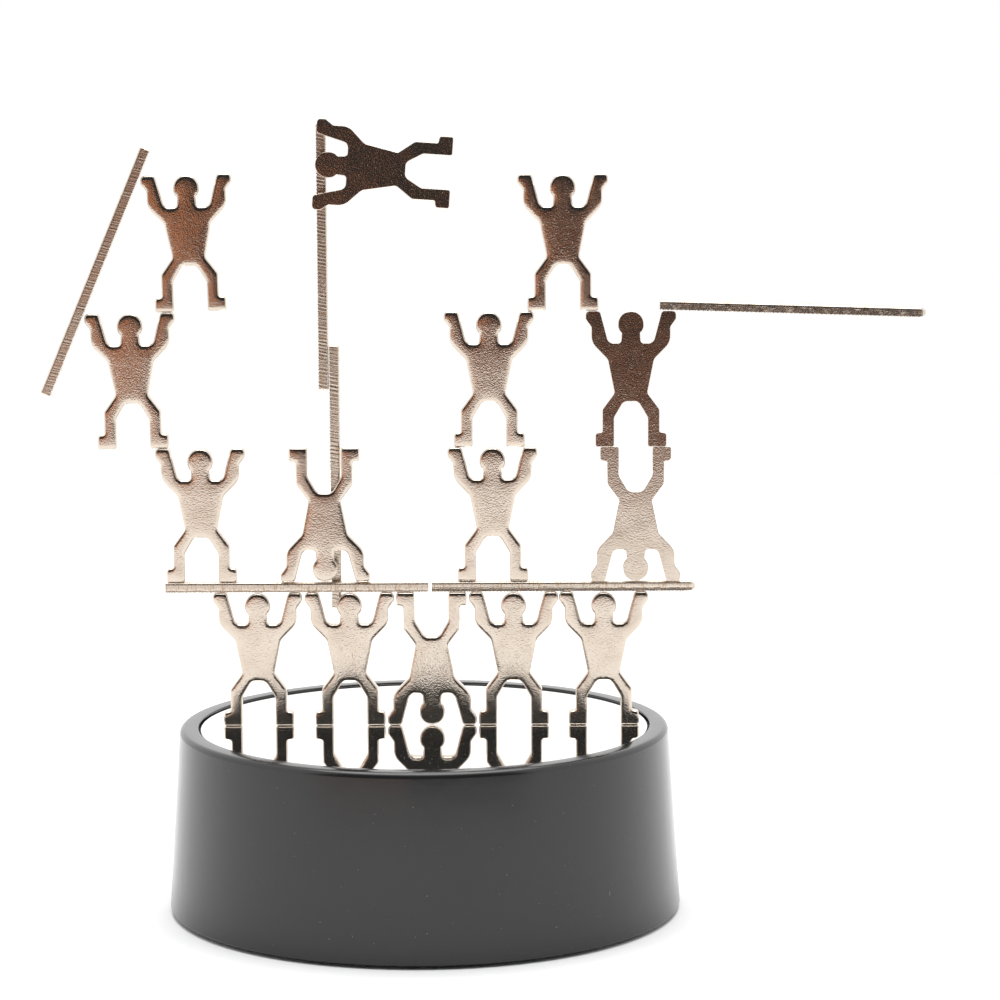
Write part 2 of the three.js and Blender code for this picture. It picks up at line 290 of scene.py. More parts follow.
class BaseSettings(bpy.types.PropertyGroup):
    """What a user would change on the base."""

    shell_colour: colour_setting("Shell", "Colour of the moulded plastic", (0.016, 0.0155, 0.0155))
    shell_roughness: share_setting("Shell roughness", "Blur of the plastic's reflections", 0.15)
    mirror_colour: colour_setting("Mirror", "Colour of the mirror plate", (0.93, 0.92, 0.9))
    ferrite_colour: colour_setting("Ferrite", "Colour of the magnet", (0.05, 0.046, 0.043))
    closure_colour: colour_setting("Closure", "Colour of the inner cover", (0.016, 0.016, 0.017))
    pad_colour: colour_setting("Pad", "Colour of the rubber foot pad", (0.035, 0.022, 0.016))


class StageSettings(bpy.types.PropertyGroup):
    """What a user would change on the floor, the lights and the surroundings."""

    floor_colour: colour_setting("Floor", "Colour of the floor", (0.9, 0.9, 0.9))
    studio_strength: bpy.props.FloatProperty(
        name="Studio", description="Brightness of the white surroundings", default=1.3, min=0.0
    )
    overhead_strength: bpy.props.FloatProperty(
        name="Overhead", description="Power of the soft light above", default=14.0, min=0.0, unit="POWER"
    )
    room_colour: colour_setting("Room", "Colour of the unlit room in front", (0.033, 0.038, 0.042))
    floor_glow: colour_setting("Low glow", "Colour of the room low down", (0.27, 0.115, 0.064))
    side_glow: colour_setting("Side glow", "Colour of the warm light at the front left", (1.0, 0.41, 0.2))


# ================================================================ shapes


def unit(vectors):
    """Each vector divided by its own length."""
    return vectors / np.linalg.norm(vectors, axis=-1, keepdims=True)


def corner_arcs(corners, inset=0.0):
    """The corners of a closed outline drawn in by inset, each as an arc that touches both its sides.

    The rows of corners are across, up and radius, clockwise. A corner moves along its bisector by inset
    over the sine of half its angle. The arc of an outer corner loses inset from its radius and that of an
    inner corner gains it. A point of the arc is the arc's centre plus the radius to its first tangent
    point, turned by a share of the corner's turn.
    """
    points, radii = corners[:, :2], corners[:, 2]
    before = unit(np.roll(points, 1, axis=0) - points)
    after = unit(np.roll(points, -1, axis=0) - points)
    half = np.arccos(np.sum(before * after, axis=1)) / 2
    middle = unit(before + after)
    side = np.sign(before[:, 0] * after[:, 1] - before[:, 1] * after[:, 0])
    moved = points + middle * (side * inset / np.sin(half))[:, None]
    radii = np.maximum(radii - side * inset, LEAST_CORNER)
    centres = moved + middle * (radii / np.sin(half))[:, None]
    starts = moved + before * (radii / np.tan(half))[:, None] - centres
    shares = np.linspace(0.0, 1.0, CORNER_STEPS + 1)
    turns = -(side * (math.pi - 2 * half))[:, None] * shares
    across = starts[:, :1] * np.cos(turns) - starts[:, 1:] * np.sin(turns)
    up = starts[:, :1] * np.sin(turns) + starts[:, 1:] * np.cos(turns)
    return np.stack([across, up], axis=-1) + centres[:, None, :]


def enclosed_volume(mesh):
    """The volume inside a mesh, negative where its faces point inwards."""
    shape = bmesh.new()
    shape.from_mesh(mesh)
    volume = shape.calc_volume(signed=True)
    shape.free()
    return volume


def ring_faces(count, around):
    """Four-sided faces between neighbouring rings of a stack, and each ring's own point numbers."""
    index = np.arange(count * around).reshape(count, around)
    following = np.roll(index, -1, axis=1)
    quads = np.stack([index[:-1], index[1:], following[1:], following[:-1]], axis=-1).reshape(-1, 4)
    return quads.tolist(), index


def closed_skin(name, points, faces, own_place=None):
    """One closed mesh, smooth but for its sharp edges, with all its faces turned outwards.

    own_place holds the same points in the piece's own axes."""
    mesh = bpy.data.meshes.new(name)
    mesh.from_pydata(points.reshape(-1, 3).tolist(), [], faces)
    if enclosed_volume(mesh) < 0:
        mesh.flip_normals()
    mesh.shade_smooth()
    mesh.set_sharp_from_angle(angle=SHARP_ANGLE)
    if own_place is not None:
        attribute = mesh.attributes.new(OWN_PLACE, "FLOAT_VECTOR", "POINT")
        attribute.data.foreach_set("vector", own_place.reshape(-1).astype(np.float32))
    return mesh


def capped_rings(name, rings, own_place=None):
    """One closed mesh from a stack of rings with equal counts, with a flat face over each end."""
    quads, index = ring_faces(*rings.shape[:2])
    faces = [*quads, index[0].tolist(), index[-1, ::-1].tolist()]
    return closed_skin(name, rings, faces, own_place)


def arc(across, up, radius, first, last):
    """Points of an arc about (across, up) from one angle to another, in degrees.

    A point is the centre plus the radius times the angle's cosine and sine."""
    angles = np.radians(np.linspace(first, last, ROUND_STEPS + 1))
    return np.stack([across + radius * np.cos(angles), up + radius * np.sin(angles)], axis=-1)


def turned(name, *sections):
    """A turned piece: each (radius, height) of the section, in millimetres, swept round the upright axis.

    A point is radius times cosine, radius times sine, height. The two ends are closed by flat discs."""
    section = np.concatenate([np.atleast_2d(part) for part in sections]) * MM
    angles = np.linspace(0.0, 2 * math.pi, TURNING_STEPS, endpoint=False)
    x = section[:, :1] * np.cos(angles)
    y = section[:, :1] * np.sin(angles)
    z = np.broadcast_to(section[:, 1:], x.shape)
    return capped_rings(name, np.stack([x, y, z], axis=-1))


def ripple(place, pitch, seed):
    """A smooth random wave of about unit height.

    It sums sines with seeded phases, whose pitches spread round pitch, over the root of their number."""
    draw = np.random.default_rng(seed)
    pitches = pitch * draw.uniform(*RIPPLE_SPREAD, RIPPLE_WAVES)
    phases = draw.uniform(0.0, 2 * math.pi, RIPPLE_WAVES)
    waves = np.sin(2 * math.pi * place[..., None] / pitches + phases)
    return waves.sum(axis=-1) / math.sqrt(RIPPLE_WAVES)


def smooth_step(low, high, value):
    """Nought below low, one above high, and 3t^2 - 2t^3 between them."""
    share = np.clip((value - low) / (high - low), 0.0, 1.0)
    return share * share * (3 - 2 * share)


def corners_of(node):
    """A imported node's distinct points in metres."""
    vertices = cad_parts[node].data.vertices
    flat = np.empty(len(vertices) * 3, np.float32)
    vertices.foreach_get("co", flat)
    return np.unique(np.round(flat.reshape(-1, 3).astype(float), PLACE_DIGITS), axis=0)


def own_axes(points):
    """The directions in which points spread most and least, by singular values about their mean."""
    axes = np.linalg.svd(points - points.mean(axis=0), full_matrices=False)[2]
    return axes[0], axes[2]


def placed(own, origin, along, backward):
    """Own points (across, thickness, along) carried to the model: origin plus each part times its axis."""
    return origin + own @ np.stack([np.cross(backward, along), backward, along])


# ================================================================ acrobats


def acrobat_stand(node):
    """Where an acrobat stands: the middle of its soles, its upward and its backward direction.

    Its outline is the same either side of its middle line, so that line is the long axis, and its thickness
    is the short one. The hands reach furthest to the sides, so up is towards the point furthest from the
    line."""
    points = corners_of(node)
    up, backward = own_axes(points)
    if backward[1] < 0:
        backward = -backward
    centred = points - points.mean(axis=0)
    widest = np.argmax(np.abs(centred @ np.cross(backward, up)))
    if centred[widest] @ up < 0:
        up = -up
    return points.mean(axis=0) + up * (centred @ up).min(), up, backward


def acrobat_thickness(node):
    """How far an acrobat's points reach along the direction in which they spread least, in millimetres."""
    points = corners_of(node)
    return np.ptp(points @ own_axes(points)[1]) / MM


def filling(outline):
    """Which point of an outline to start from, and the share of the way to the next.

    No step from one such place to the next is longer than OUTLINE_STEP."""
    lengths = np.linalg.norm(np.roll(outline, -1, axis=0) - outline, axis=1)
    counts = np.maximum(1, np.ceil(lengths / OUTLINE_STEP)).astype(int)
    start = np.repeat(np.arange(len(outline)), counts)
    first = np.repeat(np.cumsum(counts) - counts, counts)
    return start, (np.arange(len(start)) - first) / counts[start]


def acrobat_corners():
    """All the corners of the acrobat's outline: the listed half, then its mirror image in reverse order."""
    half = np.array(HALF_OUTLINE)
    return np.concatenate([half, half[::-1] * (-1, 1, 1)])


def acrobat_outline(inset, start, share):
    """The acrobat's outline drawn in by inset, clockwise, with its long sides filled in."""
    outline = corner_arcs(acrobat_corners(), inset).reshape(-1, 2)
    following = np.roll(outline, -1, axis=0)
    return outline[start] + (following[start] - outline[start]) * share[:, None]


def share_within(points, outline, reach):
    """How much of a soft round spot centred on each point falls within a clockwise outline.

    Each step round the outline adds the angle that it spans as seen from the point, times one less the
    exponential of minus its squared distance over twice the squared reach. The sum is divided by a full
    turn."""
    seen = outline[None] - points[:, None]
    following = np.roll(seen, -1, axis=1)
    crossed = following[..., 0] * seen[..., 1] - following[..., 1] * seen[..., 0]
    angle = np.arctan2(crossed, np.sum(following * seen, axis=-1))
    squared = np.sum(((seen + following) / 2) ** 2, axis=-1)
    return np.sum(angle * (1 - np.exp(-squared / (2 * reach * reach))), axis=1) / (2 * math.pi)


def inner_points(outline, keep_off):
    """Points of a staggered grid that lie inside the outline, further than keep_off from it."""
    low, high = outline.min(axis=0), outline.max(axis=0)
    columns = np.arange(low[0], high[0], GRID_STEP)
    rows = np.arange(low[1], high[1], GRID_STEP * math.sin(math.pi / 3))
    across, up = np.meshgrid(columns, rows)
    across = across + (np.arange(len(rows)) % 2)[:, None] * GRID_STEP / 2
    points = np.stack([across, up], axis=-1).reshape(-1, 2)
    inside = share_within(points, outline, INSIDE_REACH) > INSIDE_SHARE
    points = points[inside]
    nearest = np.linalg.norm(points[:, None] - outline[None], axis=-1).min(axis=1)
    return points[nearest > keep_off]


def joined_by_triangles(loop, points):
    """Triangles that join a closed loop and the points inside it, numbered from the loop to the points."""
    flat = [Vector(point) for point in np.concatenate([loop, points]).tolist()]
    edges = [(k, (k + 1) % len(loop)) for k in range(len(loop))]
    made = delaunay_2d_cdt(flat, edges, [], CDT_INSIDE, CDT_NEAR)
    if len(made[0]) != len(flat):
        raise RuntimeError("the triangulation merged or added a point")
    return made[2]


def acrobat_form(settings, thickness):
    """The acrobat's points in metres, the domed face first, and the faces that join them.

    The domed face falls by each depth times the share of a soft spot that reaches outside the outline, so
    it is lowest at outer corners. A quarter round of the edge radius follows, then a straight wall and a
    small break at the flat face."""
    reaches = [
        (settings.roll_reach / MM, settings.roll_depth / MM),
        (settings.dome_reach / MM, settings.dome_depth / MM),
    ]
    radius, edge = settings.edge_round / MM, settings.edge_break / MM
    start, share = filling(corner_arcs(acrobat_corners()).reshape(-1, 2))
    outline = acrobat_outline(0.0, start, share)

    def fall(points):
        return sum(depth * (1 - share_within(points, outline, reach)) for reach, depth in reaches)

    turn = np.linspace(0.0, math.pi / 2, ROLL_STEPS + 1)
    back = np.linspace(0.0, math.pi / 2, BREAK_STEPS + 1)
    rounding, breaking = radius * (1 - np.sin(turn)), edge * (1 - np.cos(back))
    insets = np.concatenate([rounding, [0.0], breaking, [edge + FLAT_RING]])
    rings = np.stack([acrobat_outline(inset, start, share) for inset in insets])
    edge_fall = fall(outline)
    domed = [fall(ring) + drop for ring, drop in zip(rings, radius * (1 - np.cos(turn)))]
    level = np.ones_like(edge_fall)
    lower = [thickness - edge - WALL_HOLD, *(thickness - edge * (1 - np.sin(back))), thickness]
    through = np.stack([*domed, *(level * depth for depth in lower)])
    inner = inner_points(outline, radius + GRID_STEP / 2)
    across = np.concatenate([rings.reshape(-1, 2), inner])
    deep = np.concatenate([through.reshape(-1), fall(inner)]) - thickness / 2
    quads, index = ring_faces(*through.shape)
    numbers = np.concatenate([index[0], index.size + np.arange(len(inner))])
    domed_face = [numbers[face[::-1]].tolist() for face in joined_by_triangles(rings[0], inner)]
    points = np.stack([across[:, 0], deep, across[:, 1]], axis=-1) * MM
    return points, [*quads, *domed_face, index[-1, ::-1].tolist()]


def stamped_acrobat(node, number, form):
    """One acrobat's mesh, with the domed or the flat face to the front."""
    own, faces = form
    sole, up, backward = acrobat_stand(node)
    facing = (1, -1, 1) if node in FLAT_FACE_FRONT else (1, 1, 1)
    points = placed(own * facing, sole, up, backward)
    shifted = own + np.array([number * PATTERN_SHIFT * MM, 0.0, 0.0])
    return closed_skin(f"stamped_{node}", points, faces, shifted)


# ================================================================ bars


def bar_stations(length, tip_round):
    """Places along a bar and how far its section is drawn in there.

    A small quarter round at the near end, even steps, and a quarter of an ellipse at the far end."""
    turn = np.linspace(0.0, math.pi / 2, BAR_ARC_STEPS + 1)
    near, far = BAR_END_ROUND, tip_round
    far_inset = min(far, BAR_TIP_MOST)
    steps = round((length - near - far) / BAR_RING_PITCH)
    straight = np.linspace(near, length - far, steps + 1)[1:-1]
    places = np.concatenate([near - near * np.cos(turn), straight, length - far + far * np.sin(turn)])
    near_insets, far_insets = near * (1 - np.sin(turn)), far_inset * (1 - np.cos(turn))
    insets = np.concatenate([near_insets, np.zeros(len(straight)), far_insets])
    return places, insets


def bar_section(half, rolled, soft):
    """Points (thickness, side) round a square of half width half, with soft corners at its rolled side."""
    corners = np.array([
        (half, half, soft),
        (half, -half, BAR_SHARP_CORNER),
        (-half, -half, BAR_SHARP_CORNER),
        (-half, half, soft),
    ])
    arcs = corner_arcs(corners)
    ends, starts = arcs[:, -1:], np.roll(arcs[:, :1], -1, axis=0)
    shares = np.linspace(0.0, 1.0, BAR_FACE_STEPS + 1)[1:-1, None]
    section = np.concatenate([arcs, ends + (starts - ends) * shares], axis=1).reshape(-1, 2)
    return section * (1, rolled)


def cut_depth(place, height, half, seed, look):
    """How deep a sheared face lies below the flat, in millimetres.

    A wavy line runs along the face where the clean cut ends. The face falls to it as a bell curve of the
    distance on the cut's side, and rises evenly from it to the far edge. Fine ridges run across the whole
    face and coarse grains cover what lies beyond the line."""
    line_share, line_depth, ridge_depth = look
    break_seed, fine_seed, ridge_seed, rising_seed, falling_seed = range(seed, seed + CUT_SEEDS)
    wander = BREAK_SWING * ripple(place, BREAK_WAVE, break_seed)
    flutter = FINE_SWING * ripple(place, FINE_WAVE, fine_seed)
    line = half * line_share + wander + flutter
    away = height - line
    beyond = 1 + np.minimum(away, 0.0) / (half + line)
    groove = line_depth * np.where(away > 0, np.exp(-((away / BREAK_GROOVE) ** 2)), beyond)
    ridges = ridge_depth * ripple(place + RIDGE_SLANT * height, RIDGE_PITCH, ridge_seed)
    rising = ripple(place + height, GRAIN_PITCH, rising_seed)
    falling = ripple(place - height, GRAIN_PITCH, falling_seed)
    torn = TORN_DEPTH * (rising * falling) * smooth_step(0.0, BREAK_GROOVE, -away)
    return FACE_SINK + groove + ridges + torn


def sheared_bar(node, number):
    """One bar's mesh: its section carried along its length, with two cut faces and a ragged burr."""
    rolled, *look, tip_round, soft = BARS[node]
    seed = number * SEED_STEP
    points = corners_of(node)
    along = own_axes(points)[0]
    if along.sum() < 0:
        along = -along
    backward = unit(BACKWARD - along * (BACKWARD @ along))
    side = np.cross(along, backward)
    centred = (points - points.mean(axis=0)) / MM
    length = np.ptp(centred @ along)
    half = np.ptp(centred @ side) / 2
    places, insets = bar_stations(length, tip_round)
    section = bar_section(half, rolled, soft)
    scale = 1 - insets[:, None] / half
    across = section[None, :, 0] * scale
    height = section[None, :, 1] * scale
    place = np.broadcast_to(places[:, None], across.shape)
    facing = smooth_step(CUT_FACE_FROM * half, half, np.abs(section[None, :, 0])) * scale
    depth = cut_depth(place, height * rolled, half, seed, look)
    burr = smooth_step(CUT_FACE_FROM * half, half, -height * rolled) * BURR_DEPTH
    ragged = burr * (1 + ripple(place, BURR_PITCH, seed + CUT_SEEDS)) / 2
    own = np.stack([
        place - length / 2,
        across - np.sign(across) * facing * depth,
        height + rolled * ragged,
    ], axis=-1) * MM
    rings = placed(own[..., [2, 1, 0]] * (-1, 1, 1), points.mean(axis=0), along, backward)
    shifted = own + np.array([number * PATTERN_SHIFT * MM, 0.0, 0.0])
    return capped_rings(f"sheared_{node}", rings, shifted)


# ================================================================ base


def base_sizes():
    """The base's main radii and heights in millimetres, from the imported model's boxes."""
    boxes = {node: [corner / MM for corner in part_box(node)] for node in BASE_NODES}
    shell_low, shell_high = boxes["base_shell"]
    recess = boxes["mirror_plate"][1].x + PLATE_CLEARANCE
    return {
        "foot": shell_high.x,
        "lift": shell_low.z,
        "top": shell_high.z,
        "recess": recess,
        "shoulder": recess + RIM_WIDTH,
        "plate": boxes["mirror_plate"],
        "magnet": boxes["ferrite_magnet"],
        "closure": boxes["base_closure"],
        "pad": boxes["foot_pad"],
    }


def flank_radius(sizes, height):
    """The flank's radius at a height: a straight line from the foot to the shoulder."""
    share = (height - sizes["lift"]) / (sizes["top"] - RIM_ROUND - sizes["lift"])
    return sizes["foot"] + (sizes["shoulder"] - sizes["foot"]) * share


def moulded_shell(sizes):
    """The shell: its section runs from the magnet's pocket over the flank and rim to the plate's recess."""
    floor = sizes["plate"][0].z - SEAT_GAP
    roof = floor - ROOF_THICKNESS
    pocket = sizes["magnet"][1].x + POCKET_CLEARANCE
    pocket_foot = sizes["magnet"][0].z
    inner_top = flank_radius(sizes, roof) - SHELL_WALL
    inner_foot = sizes["foot"] - SHELL_WALL
    foot_centre = sizes["lift"] + FOOT_ROUND
    rim_centre = sizes["top"] - RIM_ROUND
    return turned(
        "moulded_base_shell",
        (pocket - SMALL_ROUND, roof),
        (pocket, roof),
        (pocket, pocket_foot),
        (pocket + POCKET_WALL, pocket_foot),
        (pocket + POCKET_WALL, roof),
        arc(inner_top - SMALL_ROUND, roof - SMALL_ROUND, SMALL_ROUND, 90, 0),
        (inner_foot, sizes["lift"]),
        arc(flank_radius(sizes, foot_centre) - FOOT_ROUND, foot_centre, FOOT_ROUND, -90, 0),
        arc(sizes["shoulder"] - RIM_ROUND, rim_centre, RIM_ROUND, 0, 90),
        arc(sizes["recess"] + LIP_ROUND, sizes["top"] - LIP_ROUND, LIP_ROUND, 90, 180),
        (sizes["recess"], floor),
        (sizes["recess"] - SMALL_ROUND, floor),
    )


def polished_plate(sizes):
    """The mirror plate: a flat disc with a rounded upper edge."""
    low, high = sizes["plate"]
    return turned(
        "polished_mirror_plate",
        (high.x - 2 * PLATE_EDGE_BREAK, low.z),
        arc(high.x - SMALL_ROUND, low.z + SMALL_ROUND, SMALL_ROUND, -90, 0),
        arc(high.x - PLATE_EDGE_BREAK, high.z - PLATE_EDGE_BREAK, PLATE_EDGE_BREAK, 0, 90),
        (high.x - 2 * PLATE_EDGE_BREAK, high.z),
    )


def chamfered_disc(name, low, high, chamfer):
    """A flat disc with both its edges cut at half a right angle."""
    return turned(
        name,
        (high.x - chamfer - SMALL_ROUND, low.z),
        (high.x - chamfer, low.z),
        (high.x, low.z + chamfer),
        (high.x, high.z - chamfer),
        (high.x - chamfer, high.z),
        (high.x - chamfer - SMALL_ROUND, high.z),
    )


def inner_cover(sizes):
    """The cover that closes the base, with the post that carries the magnet."""
    low, high = sizes["closure"]
    top = low.z + CLOSURE_THICKNESS
    upper = flank_radius(sizes, top) - sizes["foot"] + high.x
    return turned(
        "moulded_inner_cover",
        (high.x - 2 * SMALL_ROUND, low.z),
        arc(high.x - SMALL_ROUND, low.z + SMALL_ROUND, SMALL_ROUND, -90, 0),
        arc(upper - SMALL_ROUND, top - SMALL_ROUND, SMALL_ROUND, 0, 90),
        (POST_RADIUS + SMALL_ROUND, top),
        (POST_RADIUS, top + SMALL_ROUND),
        arc(POST_RADIUS - SMALL_ROUND, high.z - SMALL_ROUND, SMALL_ROUND, 0, 90),
        (POST_RADIUS - 2 * SMALL_ROUND, high.z),
    )


# ================================================================ materials


class Finish:
    """A node material being built: add() makes a node, sets its inputs by value or link and returns it."""

    def __init__(self, name):
        self.material = bpy.data.materials.new(name)
        self.material.use_nodes = True
        self.tree = self.material.node_tree
        self.shader = self.tree.nodes["Principled BSDF"]

    def add(self, kind, inputs=None, **settings):
        return add_node(self.tree, kind, inputs, **settings)

    def set(self, **inputs):
        """Sets the shader's own sockets, by value or by link."""
        spelled = {name.replace("_", " "): value for name, value in inputs.items()}
        fill_inputs(self.tree, self.shader, spelled)

    def own_place(self):
        """The point's place in the piece's own axes, as stored on the mesh."""
        return self.add("ShaderNodeAttribute", attribute_name=OWN_PLACE).outputs["Vector"]

    def object_place(self):
        """The point's place in the model's axes."""
        return self.add("ShaderNodeTexCoord").outputs["Object"]

    def noise(self, place, pitch, detail=2.0, roughness=0.5, stretch=(1, 1, 1)):
        """Cloudy noise with a feature every pitch millimetres, drawn out by stretch along each axis."""
        scale = tuple(1 / (pitch * MM * part) for part in stretch)
        mapped = self.add("ShaderNodeMapping", {"Vector": place, "Scale": scale}).outputs["Vector"]
        inputs = {"Vector": mapped, "Scale": 1.0, "Detail": detail, "Roughness": roughness}
        return self.add("ShaderNodeTexNoise", inputs).outputs["Fac"]

    def remap(self, value, low, high, to_low=0.0, to_high=1.0):
        """Carries low..high to to_low..to_high with eased ends."""
        inputs = {"Value": value, "From Min": low, "From Max": high, "To Min": to_low, "To Max": to_high}
        return self.add("ShaderNodeMapRange", inputs, interpolation_type="SMOOTHSTEP").outputs["Result"]

    def sum(self, *weighted):
        """The weighted sum of (value, weight) pairs."""
        total = 0.0
        for value, weight in weighted:
            inputs = {0: value, 1: weight, 2: total}
            total = self.add("ShaderNodeMath", inputs, operation="MULTIPLY_ADD").outputs[0]
        return total

    def tint(self, share, first, second):
        """A colour that runs from first to second with share."""
        inputs = {"Factor": share, "A": (*first, 1.0), "B": (*second, 1.0)}
        return mix_colours(self.tree, inputs)

    def bump(self, height, distance, normal=None):
        """A normal tipped by a height of that many metres."""
        inputs = {"Height": height, "Distance": distance, "Strength": 1.0}
        if normal is not None:
            inputs["Normal"] = normal
        return self.add("ShaderNodeBump", inputs).outputs["Normal"]


def fill_inputs(tree, node, inputs):
    """Sets a node's inputs: a socket is linked and anything else becomes the input's own value."""
    for name, value in (inputs or {}).items():
        if isinstance(value, bpy.types.NodeSocket):
            tree.links.new(value, node.inputs[name])
        else:
            node.inputs[name].default_value = value


def add_node(tree, kind, inputs=None, **settings):
    """A new node with its settings and inputs set."""
    node = tree.nodes.new(kind)
    for name, value in settings.items():
        setattr(node, name, value)
    fill_inputs(tree, node, inputs)
    return node


def mix_colours(tree, inputs):
    """A colour mix of A and B by Factor, in the sockets that the mix node keeps for colours."""
    numbered = {COLOUR_SOCKETS[name]: value for name, value in inputs.items()}
    return add_node(tree, "ShaderNodeMix", numbered, data_type="RGBA").outputs[COLOUR_RESULT]


def scaled(colour, factor):
    """A colour times a factor, or times one factor for each of its parts."""
    return tuple(np.clip(np.array(colour) * factor, 0.0, 1.0))


def nickel_plate(settings):
    """Barrel-plated nickel over stamped steel: a fine pebbled grain, slow waves and sparse small pits.

    The grain is at its full height on the rounded face, and lower on the flat one."""
    finish = Finish("nickel_plate")
    place = finish.own_place()
    grain = finish.noise(place, pitch=0.18, detail=0.0)
    waves = finish.noise(place, pitch=5.0, detail=1.0)
    pits = finish.remap(finish.noise(place, pitch=0.22, detail=0.0), low=0.76, high=0.86)
    blush = finish.remap(finish.noise(place, pitch=3.0, detail=3.0), low=0.35, high=0.7)
    through = finish.add("ShaderNodeSeparateXYZ", {"Vector": place}).outputs["Y"]
    coarse = finish.remap(through, -NICKEL_FACE_DEPTH, NICKEL_FACE_DEPTH, 1.0, FLAT_FACE_GRAIN)
    height = finish.sum((grain, coarse), (pits, -0.12))
    finish.set(
        Base_Color=finish.tint(blush, settings.colour, scaled(settings.colour, BLUSH_SHADE)),
        Metallic=1.0,
        Roughness=finish.sum((blush, 0.03), (pits, 0.2), (coarse, 0.06), (1.0, settings.roughness)),
        Normal=finish.bump(height, settings.grain, finish.bump(waves, NICKEL_WAVE_HEIGHT)),
    )
    return finish.material


def sheared_steel(settings):
    """Sheared bar stock under thin plating: ridges across the bar, a sandy grain, and brown stains."""
    finish = Finish("sheared_steel")
    place = finish.own_place()
    ridges = finish.noise(place, pitch=0.4, detail=2.0, stretch=(0.7, 4, 4))
    grain = finish.noise(place, pitch=0.22, detail=3.0, roughness=0.6)
    stain = finish.noise(place, pitch=0.5, detail=4.0, stretch=(0.6, 2, 2))
    stain = finish.remap(stain, low=0.48, high=0.72)
    height = finish.sum((ridges, 0.35), (grain, 0.6))
    finish.set(
        Base_Color=finish.tint(stain, settings.colour, scaled(settings.colour, STAIN_SHADE)),
        Metallic=1.0,
        Roughness=finish.sum((stain, 0.12), (1.0, settings.roughness)),
        Normal=finish.bump(height, settings.grain),
    )
    return finish.material


def shell_plastic(settings):
    """Black moulded plastic with a satin skin: soft ripples, hair-fine scuffs round the flank, and dust."""
    finish = Finish("shell_plastic")
    place = finish.object_place()
    ripples = finish.noise(place, pitch=6.0, detail=2.0)
    scuffs = finish.noise(place, pitch=0.5, detail=2.0, stretch=(9, 9, 0.7))
    skin = finish.noise(place, pitch=0.25, detail=2.0)
    dust = finish.remap(finish.noise(place, pitch=0.4, detail=0.0), low=0.84, high=0.9)
    patches = finish.noise(place, pitch=14.0, detail=3.0)
    height = finish.sum((scuffs, 0.35), (skin, 0.5), (dust, 1.2))
    even = settings.shell_roughness - PATCH_BLUR_MEAN
    finish.set(
        Base_Color=finish.tint(dust, settings.shell_colour, DUST_COLOUR),
        Roughness=finish.sum((patches, 0.14), (scuffs, 0.08), (dust, 0.3), (1.0, even)),
        IOR=PLASTIC_IOR,
        Normal=finish.bump(height, SCUFF_HEIGHT, finish.bump(ripples, SHELL_RIPPLE_HEIGHT)),
    )
    return finish.material


def mirror_polish(settings):
    """A polished plate: nearly a perfect mirror, with faint wipe marks."""
    finish = Finish("mirror_polish")
    place = finish.object_place()
    wipes = finish.noise(place, pitch=9.0, detail=3.0, stretch=(3, 1, 1))
    wipes = finish.remap(wipes, low=0.4, high=0.75)
    swirl = finish.noise(place, pitch=20.0, detail=1.0)
    finish.set(
        Base_Color=finish.tint(wipes, settings.mirror_colour, scaled(settings.mirror_colour, WIPE_SHADE)),
        Metallic=1.0,
        Roughness=finish.sum((wipes, 0.03), (1.0, MIRROR_BLUR)),
        Normal=finish.bump(swirl, MIRROR_WAVE_HEIGHT),
    )
    return finish.material


def dull_stuff(name, colour):
    """A dull material with one speckle, which changes its colour, its blur and its height."""
    look = DULL[name]
    finish = Finish(name)
    speckle = finish.noise(finish.object_place(), look["pitch"], look["detail"], look["roughness"])
    if "window" in look:
        speckle = finish.remap(speckle, *look["window"])
    finish.set(
        Base_Color=finish.tint(speckle, colour, scaled(colour, look["shade"])),
        Roughness=finish.sum((speckle, look["change"]), (1.0, look["blur"])),
        Normal=finish.bump(speckle, look["height"]),
    )
    return finish.material


# ================================================================ stage


